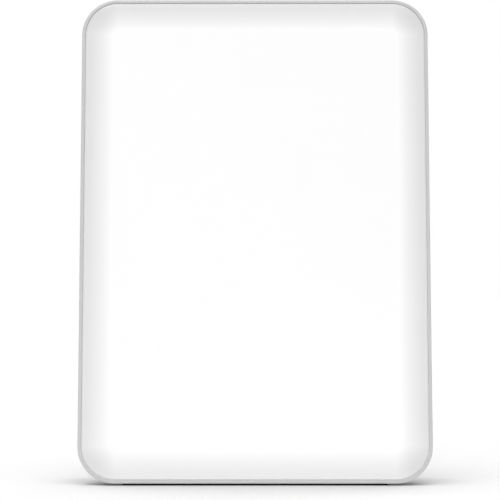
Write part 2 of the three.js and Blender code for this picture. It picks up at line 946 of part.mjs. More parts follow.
// Driver board with its coil, capacitors, chip and plugs
function driverBoard() {
  const board = circuitBoard(boardAcross, boardRise, boardWidth, boardHeight, driverSpots);
  const on = [boardBack, boardBack + coilHeight];
  const coil = depthCylinder(coilSize / 2, [boardAcross, boardRise + coilSize / 2], on, roundSteps);
  const cans = [-1, 1].map((side) =>
    depthCylinder(
      canRadius,
      [boardAcross + side * coilSize, boardRise - coilSize],
      [boardBack, boardBack + canHeight],
      smallSteps));
  const chip = block(
    centred(boardAcross, chipSize),
    [boardBack, boardBack + chipHeight],
    centred(boardRise - coilSize / 2, chipSize));
  return joined([board, coil, ...cans, chip, ...boardPlugs()]);
}

function boardPlug(x, z) {
  return block(centred(x, plugWidth), [boardBack, boardBack + plugHeight], [z, z + plugDepth]);
}

function boardPlugs() {
  return [
    boardPlug(ledPlugAcross, boardTop - plugDepth * 2),
    boardPlug(switchPlugAcross, boardTop - plugDepth * 2),
    boardPlug(boardAcross, boardBottom + plugDepth),
  ];
}

// Inner wiring, laid on the boards and led round the leg recess
function cable(points) {
  const path = new THREE.CatmullRomCurve3(points.map((point) => new THREE.Vector3(...point)));
  const section = new THREE.Shape();
  section.absarc(0, 0, wireRadius, 0, Math.PI * 2, false);
  const geometry = new THREE.ExtrudeGeometry(section, {
    steps: points.length * curveSteps / 2,
    extrudePath: path,
    curveSegments: wireSteps,
  });
  return solidOf(geometry);
}

function wireDepth() {
  return boardBack + seatGap + wireRadius;
}

function ledCable() {
  const depth = wireDepth();
  const plateLevel = plateBack + plugHeight / 2 + seatGap;
  return cable([
    [ledPlugAcross, depth, boardTop - plugDepth + seatGap],
    [ledPlugAcross, depth, boardTop + wireBend / 2],
    [ledPlugAcross, plateLevel, connectorRise - wireBend / 2],
    [ledPlugAcross, plateLevel, connectorRise - seatGap],
  ]);
}

function switchCable() {
  const depth = wireDepth();
  const start = buttonAcross - switchBoardWidth / 2 - seatGap;
  const level = buttonRise - plugWidth / 2;
  const clear = recessTop + recessWall + wireBend;
  return cable([
    [start, depth, level],
    [start - wireBend / 2, depth, level],
    [start - wireBend * 2, depth, level - wireBend],
    [0, depth, (level + clear) / 2],
    [switchPlugAcross + wireBend, depth, clear],
    [switchPlugAcross, depth, boardTop + wireBend],
    [switchPlugAcross, depth, boardTop - plugDepth + seatGap],
  ]);
}

function jackCable() {
  const depth = wireDepth();
  return cable([
    [jackAcross, depth, jackRise + jackRadius + seatGap],
    [jackAcross, depth, (jackRise + boardBottom) / 2],
    [boardAcross, depth, boardBottom - seatGap],
    [boardAcross, depth, boardBottom + plugDepth - seatGap],
  ]);
}

// Inlet: a panel jack with its nut inside the cover
function dcJack() {
  const seat = coverBack - dimpleDepth + seatGap;
  const face = seat + jackFlange;
  return turned([
    [0, face - jackPinDrop],
    [jackPin, face - jackPinDrop],
    [jackPin, face - jackBoreDepth],
    [jackBore, face - jackBoreDepth],
    [jackBore, face],
    [jackFlangeRadius, face],
    [jackFlangeRadius, seat],
    [jackRadius, seat],
    [jackRadius, face - jackLength],
    [0, face - jackLength],
  ], jackSpot, roundSteps);
}

function jackNut() {
  const back = coverInside - seatGap;
  const hexSides = 6;
  const body = depthCylinder(nutRadius, jackSpot, [back - nutThickness, back], hexSides);
  return body.subtract(depthCylinder(jackRadius + seatGap, jackSpot, [boardBack, coverBack]));
}

// Screws, turned along the depth. A positive way points the head to the rear
function screw([x, z], seat, length, way, { shank, head, height }) {
  const profile = [
    [0, seat - way * length],
    [shank, seat - way * length],
    [shank, seat],
    [head, seat],
    [head, seat + way * height],
    [0, seat + way * height],
  ];
  return turned(profile, [x, z], smallSteps);
}

const largeScrew = { shank: shankRadius, head: headRadius, height: headHeight };
const smallScrew = { shank: smallShankRadius, head: smallHeadRadius, height: smallHeadHeight };

function coverScrews() {
  const seat = wellSeat + seatGap;
  const length = seat - frameBack + pilotDepth - seatGap;
  return coverSpots.map((spot) => screw(spot, seat, length, 1, largeScrew));
}

function plateScrews() {
  const seat = plateBack + seatGap;
  const length = seat - frameBack + pilotDepth - seatGap;
  return plateSpots.map((spot) => screw(spot, seat, length, 1, largeScrew));
}

function boardScrews(spots) {
  return spots.map((spot) => screw(spot, boardFront - seatGap, smallScrewLength, -1, smallScrew));
}

// Finishes
function finish(color, roughness, metalness = 0) {
  return new THREE.MeshStandardMaterial({ color, roughness, metalness, flatShading: true });
}

const greyShell = 0xcfcfce;
const opalWhite = 0xfbfbfa;
const pureWhite = 0xf2f2ef;
const rubberBlack = 0x2b2b2c;
const steelGrey = 0xb9bcc0;
const boardGreen = 0x2f6b45;

const shellPlastic = () => finish(greyShell, 0.55);
const opalPlastic = () => finish(opalWhite, 0.35);
const whitePlastic = () => finish(pureWhite, 0.6);
const rubber = () => finish(rubberBlack, 0.85);
const steel = () => finish(steelGrey, 0.35, 1);
const fibreBoard = () => finish(boardGreen, 0.6);

// The lamp
const lamp = new THREE.Group();
const panel = new THREE.Group();
const leg = new THREE.Group();
panel.rotation.x = -lean;
leg.position.set(0, hingeDepth, hingeRise);
leg.rotation.x = openAngle;
panel.add(leg);
lamp.add(panel);

function place(group, name, solid, material) {
  const mesh = new THREE.Mesh(geometryOf(solid), material());
  mesh.name = name;
  group.add(mesh);
}

function placeEach(group, name, solids, material) {
  solids.forEach((solid, i) => place(group, `${name}_${i + 1}`, solid, material));
}

place(panel, 'front_bezel', frontBezel(), shellPlastic);
place(panel, 'diffuser', diffuser(), opalPlastic);
place(panel, 'diffuser_gasket', diffuserGasket(), rubber);
place(panel, 'light_frame', lightFrame(), whitePlastic);
place(panel, 'reflector_sheet', reflectorSheet(), whitePlastic);
placeEach(panel, 'led_strip', stripPlaces.map(ledStrip), whitePlastic);
place(panel, 'led_backplate', ledBackplate(), steel);
place(panel, 'led_connector', ledConnector(), whitePlastic);
place(panel, 'rear_cover', rearCover(), shellPlastic);
place(panel, 'driver_board', driverBoard(), fibreBoard);
place(panel, 'switch_board', switchBoard(), fibreBoard);
place(panel, 'tact_switch', tactSwitch(), rubber);
place(panel, 'switch_plunger', switchPlunger(), rubber);
place(panel, 'power_button', powerButton(), shellPlastic);
place(panel, 'dc_jack', dcJack(), rubber);
place(panel, 'jack_nut', jackNut(), steel);
place(panel, 'hinge_pin', hingePin(), steel);
place(panel, 'hinge_washer_left', hingeWasher(-1), whitePlastic);
place(panel, 'hinge_washer_right', hingeWasher(1), whitePlastic);
place(panel, 'pin_clip_left', pinClip(-1), steel);
place(panel, 'pin_clip_right', pinClip(1), steel);
place(panel, 'foot_left', foot(-1), rubber);
place(panel, 'foot_right', foot(1), rubber);
placeEach(panel, 'cover_screw', coverScrews(), steel);
placeEach(panel, 'plate_screw', plateScrews(), steel);
placeEach(panel, 'board_screw', boardScrews(driverSpots), steel);
placeEach(panel, 'switch_screw', boardScrews(switchSpots), steel);
place(panel, 'led_cable', ledCable(), rubber);
place(panel, 'switch_cable', switchCable(), rubber);
place(panel, 'jack_cable', jackCable(), rubber);
place(leg, 'stand_leg', standLeg(), shellPlastic);
place(leg, 'leg_tip', legTip(), rubber);

// The origin is on the floor, under the middle of the whole lamp
lamp.updateMatrixWorld(true);
const bounds = new THREE.Box3().setFromObject(lamp, true);
const middle = bounds.getCenter(new THREE.Vector3());
panel.position.set(-middle.x, -middle.y, -bounds.min.z);

export default lamp;
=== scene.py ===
import bpy
import json
import math
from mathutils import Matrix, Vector


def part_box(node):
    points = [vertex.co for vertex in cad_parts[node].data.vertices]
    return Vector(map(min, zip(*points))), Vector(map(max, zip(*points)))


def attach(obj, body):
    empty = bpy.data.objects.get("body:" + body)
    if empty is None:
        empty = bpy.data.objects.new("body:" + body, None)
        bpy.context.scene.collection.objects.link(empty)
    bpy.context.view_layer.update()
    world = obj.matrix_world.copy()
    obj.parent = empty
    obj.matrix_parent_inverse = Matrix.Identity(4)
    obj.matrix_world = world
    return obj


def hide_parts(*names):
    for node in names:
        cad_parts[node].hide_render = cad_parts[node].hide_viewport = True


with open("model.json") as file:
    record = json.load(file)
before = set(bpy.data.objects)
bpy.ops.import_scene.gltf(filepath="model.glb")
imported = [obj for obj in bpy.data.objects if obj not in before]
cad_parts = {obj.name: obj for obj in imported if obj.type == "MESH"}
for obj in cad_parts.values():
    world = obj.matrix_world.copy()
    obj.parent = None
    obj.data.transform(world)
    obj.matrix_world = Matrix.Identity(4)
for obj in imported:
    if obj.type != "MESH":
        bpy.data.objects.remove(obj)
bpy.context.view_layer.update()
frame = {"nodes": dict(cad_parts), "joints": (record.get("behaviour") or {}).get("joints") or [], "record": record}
print("frame loaded")

# the panel is modelled upright, x across, y back from the lip, z up from the bottom edge, then leaned
joints = {joint["name"]: joint for joint in frame["joints"]}
legJoint = joints["leg_fold"]
pressJoint = joints["power_press"]
lean = math.asin(pressJoint["axis"][2])
legOpen = math.radians(legJoint["range_deg"][1])
hinge = Vector(legJoint["pos_m"])

panelSize = {
    "width": 0.260,
    "height": 0.363,
    "cornerRadius": 0.027,
    "cornerSteps": 24,
    "hingeRise": 0.170,  # up the panel to the leg's pin
    "hingeDepth": 0.0182,  # back from the lip to the leg's pin
}
upDirection = Vector((0, math.sin(lean), math.cos(lean)))
backDirection = Vector((0, math.cos(lean), -math.sin(lean)))
panelShift = hinge - upDirection * panelSize["hingeRise"] - backDirection * panelSize["hingeDepth"]

sameSpot = 1e-6  # coordinates closer than this count as one
squarely = 0.999  # least part of a normal that lies along y, for a face that looks forward or back
sharpAngle = 50  # in degrees, from which softenEdges rounds an edge


# modelling helpers

def leaveEditMode():
    if bpy.context.object and bpy.context.object.mode != "OBJECT":
        bpy.ops.object.mode_set(mode="OBJECT")


def clearSelection():
    leaveEditMode()
    bpy.ops.object.select_all(action="DESELECT")


def makeActive(piece):
    clearSelection()
    piece.select_set(True)
    bpy.context.view_layer.objects.active = piece


def pickWhere(piece, kind, test):
    # stays in edit mode, with only the faces, edges or points selected that pass the test
    makeActive(piece)
    bpy.ops.object.mode_set(mode="EDIT")
    bpy.ops.mesh.select_mode(type=kind)
    bpy.ops.mesh.select_all(action="DESELECT")
    bpy.ops.object.mode_set(mode="OBJECT")
    elements = {"FACE": piece.data.polygons, "EDGE": piece.data.edges, "VERT": piece.data.vertices}
    for element in elements[kind]:
        element.select = test(element)
    bpy.ops.object.mode_set(mode="EDIT")


def pickFaces(piece, test):
    pickWhere(piece, "FACE", test)


def pickEdges(piece, test):
    pickWhere(piece, "EDGE", lambda edge: test(*(piece.data.vertices[i].co for i in edge.vertices)))


def pickPoints(piece, test):
    pickWhere(piece, "VERT", lambda point: test(point.co))


def pickCap(piece, toBack):
    # the faces that look straight back, or straight forward, and lie level with the largest of them
    sign = 1 if toBack else -1
    facing = [face for face in piece.data.polygons if face.normal.y * sign > squarely]
    level = max(facing, key=lambda face: face.area).center.y

    def inCap(face):
        return face.normal.y * sign > squarely and abs(face.center.y - level) < sameSpot

    pickFaces(piece, inCap)


def runsBack(start, end):
    # for the two ends of an edge that runs straight from front to back
    return abs(start.x - end.x) < sameSpot and abs(start.z - end.z) < sameSpot


def settle(piece, place=(0, 0, 0), turn=(0, 0, 0)):
    # moves and turns the piece, and puts both into its mesh
    makeActive(piece)
    piece.location = place
    piece.rotation_euler = turn
    bpy.ops.object.transform_apply(location=True, rotation=True, scale=True)


def placeOnPanel(piece):
    settle(piece, panelShift, (-lean, 0, 0))


def placeOnLeg(piece):
    settle(piece, hinge, (legOpen - lean, 0, 0))


def nameNew(name):
    piece = bpy.context.object
    piece.name = name
    bpy.ops.object.transform_apply(location=True, rotation=True, scale=True)
    return piece


def addBlock(name, across, depth, up):
    clearSelection()
    spans = (across, depth, up)
    middle = [(low + high) / 2 for low, high in spans]
    bpy.ops.mesh.primitive_cube_add(size=1, location=middle, scale=[high - low for low, high in spans])
    return nameNew(name)


def addCylinder(name, radius, length, middle, turn, sides):
    clearSelection()
    bpy.ops.mesh.primitive_cylinder_add(
        vertices=sides,
        radius=radius,
        depth=length,
        location=middle,
        rotation=turn,
    )
    return nameNew(name)


def addRound(name, radius, spot, depth, sides=48):
    # its axis runs back through the panel at spot, which is x and z
    x, z = spot
    front, back = depth
    return addCylinder(name, radius, back - front, (x, (front + back) / 2, z), (math.pi / 2, 0, 0), sides)


def addCrossRound(name, radius, half, y, z, sides):
    # its axis runs across, from -half to half
    return addCylinder(name, radius, 2 * half, (0, y, z), (0, math.pi / 2, 0), sides)


def centred(middle, width):
    return (middle - width / 2, middle + width / 2)


def roundedPlate(name, inset, depth):
    # a plate with the panel's outline, drawn in by inset
    half = panelSize["width"] / 2 - inset
    piece = addBlock(name, (-half, half), depth, (inset, panelSize["height"] - inset))
    pickEdges(piece, runsBack)
    radius = panelSize["cornerRadius"] - inset
    bpy.ops.mesh.bevel(offset=radius, segments=panelSize["cornerSteps"], affect="EDGES")
    leaveEditMode()
    return piece


def insetCap(thickness, rise=0.0, outward=False):
    bpy.ops.mesh.inset(thickness=thickness, depth=rise, use_even_offset=True, use_outset=outward)


def extrudeCap(distance):
    bpy.ops.mesh.extrude_region_move(TRANSFORM_OT_translate={"value": (0, distance, 0)})


def quarterSteps(steps):
    # how far the cosine falls and the sine rises in each step of a quarter turn
    for step in range(steps):
        before = math.pi / 2 * step / steps
        after = math.pi / 2 * (step + 1) / steps
        yield math.cos(before) - math.cos(after), math.sin(after) - math.sin(before)


def sweepCap(inward, rise, steps, outward=False):
    # quarter ellipse that starts square to the face and ends flat
    for fall, climb in quarterSteps(steps):
        insetCap(inward * fall, rise * climb, outward)


def turnInCap(radius, steps):
    # rounds the flat over into a wall that goes down through it
    for fall, climb in quarterSteps(steps):
        insetCap(radius * climb, -radius * fall)


def joinPieces(pieces):
    makeActive(pieces[0])
    for piece in pieces:
        piece.select_set(True)
    bpy.ops.object.join()
    return bpy.context.object


def carve(piece, cutter, operation="DIFFERENCE"):
    makeActive(piece)
    bpy.ops.object.modifier_add(type="BOOLEAN")
    modifier = piece.modifiers[-1]
    modifier.operation = operation
    modifier.solver = "EXACT"
    modifier.object = cutter
    bpy.ops.object.modifier_apply(modifier=modifier.name)
    bpy.data.objects.remove(cutter)


def softenEdges(piece, width, segments=3):
    makeActive(piece)
    bpy.ops.object.modifier_add(type="BEVEL")
    modifier = piece.modifiers[-1]
    modifier.width = width
    modifier.segments = segments
    modifier.limit_method = "ANGLE"
    modifier.angle_limit = math.radians(sharpAngle)
    bpy.ops.object.modifier_apply(modifier=modifier.name)


def smooth(piece, angle=35):
    makeActive(piece)
    bpy.ops.object.shade_smooth_by_angle(angle=math.radians(angle))


def cutLevel(piece, height, dropBelow=False):
    # a level cut right through, which closes the piece where it drops what lies below
    pickFaces(piece, lambda face: True)
    bpy.ops.mesh.bisect(
        plane_co=(0, 0, height),
        plane_no=(0, 0, 1),
        use_fill=dropBelow,
        clear_inner=dropBelow,
    )
    leaveEditMode()


def narrowEnd(piece, end, share):
    # draws the points at the lower end in toward the middle
    pickPoints(piece, lambda point: point.z < end + sameSpot)
    bpy.ops.transform.resize(value=(share, 1, 1), center_override=(0, 0, 0))
    leaveEditMode()


def roundEdges(piece, radius, steps, test):
    pickEdges(piece, test)
    bpy.ops.mesh.bevel(offset=radius, segments=steps, affect="EDGES")
    leaveEditMode()


def dress(piece, material, body, slot, *nodes):
    piece.data.materials.clear()
    piece.data.materials.append(material)
    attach(piece, body)
    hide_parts(*nodes)


# materials

white = (1, 1, 1, 1)
noiseSpan = (0.3, 0.7)  # the noise values between which a colour goes from dark to light


def newMaterial(name):
    material = bpy.data.materials.new(name)
    material.use_nodes = True
    nodes = material.node_tree.nodes
    return material, nodes, material.node_tree.links, nodes["Principled BSDF"]


def feed(links, value, socket):
    if isinstance(value, float):
        socket.default_value = value
    else:
        links.new(value, socket)


def mathNode(nodes, links, operation, *values):
    node = nodes.new("ShaderNodeMath")
    node.operation = operation
    for value, socket in zip(values, node.inputs):
        feed(links, value, socket)
    return node.outputs["Value"]


def rangeNode(nodes, links, value, low, high, start=0.0, clamp=True):
    # gives low where the value is at start, and high where it is 1
    node = nodes.new("ShaderNodeMapRange")
    node.clamp = clamp
    node.inputs["From Min"].default_value = start
    feed(links, low, node.inputs["To Min"])
    feed(links, high, node.inputs["To Max"])
    links.new(value, node.inputs["Value"])
    return node.outputs["Result"]


def noiseNode(nodes, links, scale, detail=2.0):
    place = nodes.new("ShaderNodeTexCoord")
    noise = nodes.new("ShaderNodeTexNoise")
    noise.inputs["Scale"].default_value = scale
    noise.inputs["Detail"].default_value = detail
    links.new(place.outputs["Object"], noise.inputs["Vector"])
    return noise.outputs["Fac"]


def colourBetween(nodes, links, factor, dark, light):
    ramp = nodes.new("ShaderNodeValToRGB")
    for stop, position, colour in zip(ramp.color_ramp.elements, noiseSpan, (dark, light)):
        stop.position = position
        stop.color = (*colour, 1)
    links.new(factor, ramp.inputs["Fac"])
    return ramp.outputs["Color"]


def grainBump(nodes, links, height, look):
    bump = nodes.new("ShaderNodeBump")
    bump.inputs["Strength"].default_value = look["strength"]
    bump.inputs["Distance"].default_value = look["distance"]
    links.new(height, bump.inputs["Height"])
    return bump.outputs["Normal"]


plasticLook = {
    "grain": 2600,  # scale of the moulded texture
    "strength": 0.35,
    "distance": 0.00006,
    "blotches": 35,  # scale of the slight change of colour
    "smoother": 0.05,  # how far the roughness goes down and up with the grain
    "rougher": 0.06,
    "gloss": 0.5,
}


def texturedPlastic(name, dark, light, roughness, **changes):
    look = {**plasticLook, **changes}
    material, nodes, links, shader = newMaterial(name)
    shader.inputs["Specular IOR Level"].default_value = look["gloss"]
    fine = noiseNode(nodes, links, look["grain"])
    broad = noiseNode(nodes, links, look["blotches"])
    links.new(colourBetween(nodes, links, broad, dark, light), shader.inputs["Base Color"])
    links.new(grainBump(nodes, links, fine, look), shader.inputs["Normal"])
    spread = rangeNode(nodes, links, fine, roughness - look["smoother"], roughness + look["rougher"])
    links.new(spread, shader.inputs["Roughness"])
    return material


metalLook = {
    "grain": 900,
    "detail": 4,
    "strength": 0.2,
    "distance": 0.00005,
}


def brushedMetal(name, dark, light, roughness):
    material, nodes, links, shader = newMaterial(name)
    shader.inputs["Metallic"].default_value = 1.0
    shader.inputs["Roughness"].default_value = roughness
    fine = noiseNode(nodes, links, metalLook["grain"], metalLook["detail"])
    links.new(colourBetween(nodes, links, fine, dark, light), shader.inputs["Base Color"])
    links.new(grainBump(nodes, links, fine, metalLook), shader.inputs["Normal"])
    return material


opalLook = {
    "colour": (0.603, 0.603, 0.603),
    "darker": 0.004,
    "roughness": 0.42,
    "grain": 1800,
    "strength": 0.15,
    "distance": 0.00003,
    "blotches": 20,
    "edgeGlow": 0.148,
    "middleGlow": 0.39,
}


def opalMaterial():
    # glows by the diffuser's own glowShare, from the seam to the middle: the lamp's own light, with painted light
    # and painted shade in it near the edges
    material, nodes, links, shader = newMaterial("opalAcrylic")
    shader.inputs["Roughness"].default_value = opalLook["roughness"]
    fine = noiseNode(nodes, links, opalLook["grain"])
    broad = noiseNode(nodes, links, opalLook["blotches"])
    light = opalLook["colour"]
    dark = tuple(level - opalLook["darker"] for level in light)
    links.new(colourBetween(nodes, links, broad, dark, light), shader.inputs["Base Color"])
    links.new(grainBump(nodes, links, fine, opalLook), shader.inputs["Normal"])
    share = nodes.new("ShaderNodeAttribute")
    share.attribute_name = "glowShare"
    glow = rangeNode(
        nodes, links, share.outputs["Fac"], opalLook["edgeGlow"], opalLook["middleGlow"], clamp=False)
    shader.inputs["Emission Color"].default_value = white
    links.new(glow, shader.inputs["Emission Strength"])
    return material


shellGrey = texturedPlastic(
    "shellGrey", (0.582, 0.582, 0.582), (0.597, 0.597, 0.597), 0.5,
    grain=1900, strength=0.7, distance=0.00012)
opalAcrylic = opalMaterial()
brightWhite = texturedPlastic("brightWhite", (0.82, 0.82, 0.80), (0.86, 0.86, 0.84), 0.55)
# black rubber, made darker than rubber is so that it also carries painted contact shade where the strip and the
# tip meet the floor
blackRubberAndShade = texturedPlastic(
    "blackRubberAndShade", (0.007, 0.007, 0.0075), (0.011, 0.011, 0.0115), 0.85,
    grain=1400, strength=0.5, distance=0.0001, gloss=0.12)
blackPlastic = texturedPlastic("blackPlastic", (0.02, 0.02, 0.021), (0.03, 0.03, 0.031), 0.4)
zincSteel = brushedMetal("zincSteel", (0.48, 0.49, 0.51), (0.6, 0.61, 0.63), 0.32)
millAluminium = brushedMetal("millAluminium", (0.7, 0.71, 0.72), (0.8, 0.81, 0.82), 0.38)
solderMask = texturedPlastic("solderMask", (0.02, 0.11, 0.045), (0.03, 0.17, 0.07), 0.35, grain=900)
cableJacket = texturedPlastic("cableJacket", (0.03, 0.03, 0.03), (0.05, 0.05, 0.05), 0.5, grain=1800)
print("materials made")


# front bezel

bezelSize = {
    "depth": 0.0085,
    "wall": 0.0018,
    "rounding": 0.00175,
    "roundingSteps": 8,
    "backRounding": 0.0004,
    "backSteps": 4,
    "lipWidth": 0.0027,
    "lipThickness": 0.0022,
    "lipRounding": 0.0003,
    "lipSteps": 3,
    "weld": 0.00002,  # points closer than this are merged where the front and the back meet
}
footGroove = {
    "end": 0.0969,
    "depth": (0.00215, 0.00815),
    "sink": 0.0008,
    "below": 0.005,
}


def makeBezel():
    size = bezelSize
    piece = roundedPlate("bezelRing", 0, (size["rounding"], size["depth"] - size["backRounding"]))
    pickCap(piece, toBack=False)
    sweepCap(size["rounding"], size["rounding"], size["roundingSteps"])
    insetCap(size["lipWidth"] - size["rounding"] - size["lipRounding"])
    turnInCap(size["lipRounding"], size["lipSteps"])
    extrudeCap(size["lipThickness"] - size["lipRounding"])
    bpy.ops.mesh.delete(type="FACE")
    leaveEditMode()
    pickCap(piece, toBack=True)
    sweepCap(size["backRounding"], size["backRounding"], size["backSteps"])
    insetCap(size["wall"] - size["backRounding"])
    extrudeCap(size["lipThickness"] - size["depth"])
    insetCap(size["lipWidth"] - size["wall"])
    bpy.ops.mesh.delete(type="FACE")
    bpy.ops.mesh.select_all(action="SELECT")
    bpy.ops.mesh.remove_doubles(threshold=size["weld"])
    leaveEditMode()
    groove = addBlock(
        "footGroove",
        (-footGroove["end"], footGroove["end"]),
        footGroove["depth"],
        (-footGroove["below"], footGroove["sink"]),
    )
    carve(piece, groove)
    return piece


bezelRing = makeBezel()
smooth(bezelRing)
placeOnPanel(bezelRing)
dress(bezelRing, shellGrey, "panel", "shell_grey", "front_bezel")
print("bezel made")


# rubber strip under the lower edge, drawn unbroken where the two feet meet

stripSize = {
    "end": 0.0966,
    "depth": (0.00245, 0.00785),
    "sink": 0.0005,
    "under": 0.004,  # more than reaches the floor, where it is cut level
    "edge": 0.0002,
}


def makeStrip():
    size = stripSize
    end = size["end"]
    piece = addBlock("rubberStrip", (-end, end), size["depth"], (-size["under"], size["sink"]))
    placeOnPanel(piece)
    cutLevel(piece, 0, dropBelow=True)
    softenEdges(piece, size["edge"], segments=2)
    return piece


rubberStrip = makeStrip()
smooth(rubberStrip)
dress(rubberStrip, blackRubberAndShade, "panel", "black_rubber", "foot_left", "foot_right")
print("strip made")


# diffuser

diffuserSize = {
    "flangeInset": 0.0021,
    "flangeDepth": (0.0025, 0.0040),
    "skirtInset": 0.0030,
    "seamDepth": 0.0006,
    "wall": 0.002,
    "crownRise": 0.0035,
    "crownWidth": 0.0205,
    "crownSteps": 18,
    "innerSteps": 8,
    "flatRing": 0.0006,  # a narrow ring where the crown meets the flat
}
# the lamp's own glow over the diffuser, with painted light near the bottom and painted shade along the top and in
# the corners
glowSpread = {
    "flatEdge": 0.2,  # share of the crown's width that stays dim beside the seam
    "paintedLightReach": 0.045,  # up from the bottom edge, painted light: the glow is raised closer to the seam where the lower flank gets less light
    "paintedLightShare": 0.34,
    "paintedShadeReach": 0.0065,  # down from the top edge, painted shade: the glow is dimmed where the light from above falls on the crown
    "paintedShadeDim": 0.6,
    # the glow is dimmed in the corners: partly the lamp's own falloff there, partly painted shade of the crown's
    # corners
    "cornerDim": 0.24,
    "cornerSag": 0.8,
    "tighten": 0.8,  # how fast the corners of the level lines tighten toward the middle
    "skirt": 0.9,
}


def glowShareOf(point):
    # 0 beside the seam, 1 where the crown runs flat, and a little under 0 in the corners; painted light raises it
    # near the bottom, and painted shade lowers it along the top and, with the lamp's own falloff, in the corners
    spread = glowSpread
    radius = panelSize["cornerRadius"]
    x = abs(point.x) - (panelSize["width"] / 2 - radius)
    z = abs(point.z - panelSize["height"] / 2) - (panelSize["height"] / 2 - radius)
    inset = radius - max(x, z)
    diagonal = 0
    tighten = spread["tighten"]
    slide = 1 - tighten
    if min(x + slide * inset, z + slide * inset) > 0:
        # in a corner, the inset of the level line whose own rounded corner goes through the point
        square = 2 * slide ** 2 - tighten ** 2
        linear = 2 * slide * (x + z) + 2 * radius * tighten
        rest = x ** 2 + z ** 2 - radius ** 2
        inset = 2 * rest / (-linear - math.sqrt(max(linear ** 2 - 4 * square * rest, 0)))
        across = x + slide * inset
        up = z + slide * inset
        diagonal = 2 * across * up / (across ** 2 + up ** 2)
    share = min((inset - diffuserSize["skirtInset"]) / diffuserSize["crownWidth"], 1)
    rise = max(share - spread["flatEdge"], 0) / (1 - spread["flatEdge"])
    # painted light: more glow near the bottom edge
    low = max(1 - point.z / spread["paintedLightReach"], 0)
    rise += (1 - rise) * low * spread["paintedLightShare"]
    # painted shade: less glow along the top edge
    paintedShade = max(point.z - panelSize["height"] + spread["paintedShadeReach"], 0) / spread["paintedShadeReach"]
    rise -= paintedShade * spread["paintedShadeDim"]
    # less glow in the corners: the lamp's own falloff there, and painted shade
    return rise - diagonal * (1 - rise) * (spread["cornerDim"] + spread["cornerSag"] * rise)


def makeDiffuser():
    size = diffuserSize
    front, back = size["flangeDepth"]
    piece = roundedPlate("opalFront", size["flangeInset"], (front, back))
    pickCap(piece, toBack=False)
    insetCap(size["skirtInset"] - size["flangeInset"])
    extrudeCap(size["seamDepth"] - front)
    sweepCap(size["crownWidth"], size["crownRise"] + size["seamDepth"], size["crownSteps"])
    insetCap(size["flatRing"])
    leaveEditMode()
    pickCap(piece, toBack=True)
    insetCap(size["skirtInset"] + size["wall"] - size["flangeInset"])
    inner = size["seamDepth"] + size["wall"] / 2
    extrudeCap(inner - back)
    innerRise = size["wall"] - size["crownRise"] - inner
    sweepCap(size["crownWidth"] - size["wall"], innerRise, size["innerSteps"])
    leaveEditMode()
    glow = piece.data.attributes.new("glowShare", "FLOAT", "POINT")
    for point, value in zip(piece.data.vertices, glow.data):
        hidden = point.co.y > size["seamDepth"] + sameSpot
        value.value = glowSpread["skirt"] if hidden else glowShareOf(point.co)
    return piece


opalFront = makeDiffuser()
smooth(opalFront)
placeOnPanel(opalFront)
dress(opalFront, opalAcrylic, "panel", "opal_white", "diffuser")
print("diffuser made")


# rear cover

coverSize = {
    "partingStep": 0.001,
    "front": 0.0088,
    "back": 0.0225,
    "wall": 0.0022,
    "edge": 0.0003,
    "sweep": 0.018,
    "sweepSteps": 18,
    "flatRing": 0.0006,
    "mouthRounding": 0.0005,
    "mouthSteps": 3,
    "hollowAhead": 0.003,  # how far the hollow starts ahead of the shell's front
    "dimpleDepth": 0.0008,
}
cutterSize = {
    "past": 0.006,  # how far cutters run on past the back
    "tubPast": 0.01,
    "borePast": 0.005,
    "boreFront": 0.015,
}
wellSize = {
    "inset": 0.009,
    "post": 0.005,
    "bore": 0.0034,
    "front": 0.0123,
    "seat": 0.0139,
    "hole": 0.0016,
    "holeFront": 0.005,
}
recessSize = {
    "floor": 0.0142,
    "wall": 0.0018,
    "halfTop": 0.0311,
    "top": 0.18023,
    "below": 0.006,  # past the lower edge, where the recess is open
    "taperStart": 0.162,
    "taper": 0.04345,  # drawn in by this much for each unit down
    "tubCorner": 0.0045,
    "corner": 0.0035,
    "cornerSteps": 8,
    "floorFillet": 0.0008,
    "filletSteps": 3,
    "pinBore": 0.0019,
    "pinReach": 0.038,
    "pinSides": 32,
}
slotSize = {
    "count": 11,
    "pitch": 0.0065,
    "width": 0.0024,
    "length": 0.026,
    "rise": 0.318,
    "endShare": 0.499,  # of the width, a hair under the half that would close the flat
    "endSteps": 6,
}
buttonPlace = {
    "spot": (0.080, 0.300),
    "hole": 0.0085,
    "dimple": 0.012,
    "sides": 72,
}
jackPlace = {
    "spot": (-0.080, 0.042),
    "hole": 0.0043,
    "dimple": 0.0059,
    "sides": 48,
}


def dish(name, inset, front, back, sweep):
    size = coverSize
    piece = roundedPlate(name, inset, (front, front + size["edge"]))
    pickCap(piece, toBack=True)
    sweepCap(sweep, back - front - size["edge"], size["sweepSteps"])
    insetCap(size["flatRing"])
    leaveEditMode()
    return piece


def mouthCutter(piece):
    # rounds a cutter's mouth outward where it leaves the flat back, then runs on past it
    pickCap(piece, toBack=True)
    radius = coverSize["mouthRounding"]
    sweepCap(radius, radius, coverSize["mouthSteps"], outward=True)
    extrudeCap(cutterSize["past"])
    leaveEditMode()
    return piece


def recessHalfAt(z):
    size = recessSize
    return size["halfTop"] - size["taper"] * (size["taperStart"] - min(z, size["taperStart"]))


def recessBlock(name, margin, depth, corner):
    # the recess, or with a margin the tub round it
    size = recessSize
    bottom = -size["below"]
    top = size["top"] + margin
    half = size["halfTop"] + margin
    piece = addBlock(name, (-half, half), depth, (bottom, top))
    cutLevel(piece, size["taperStart"])
    narrowEnd(piece, bottom, (recessHalfAt(bottom) + margin) / half)
    roundEdges(piece, corner, size["cornerSteps"], lambda a, b: runsBack(a, b) and a.z > top - sameSpot)
    return piece


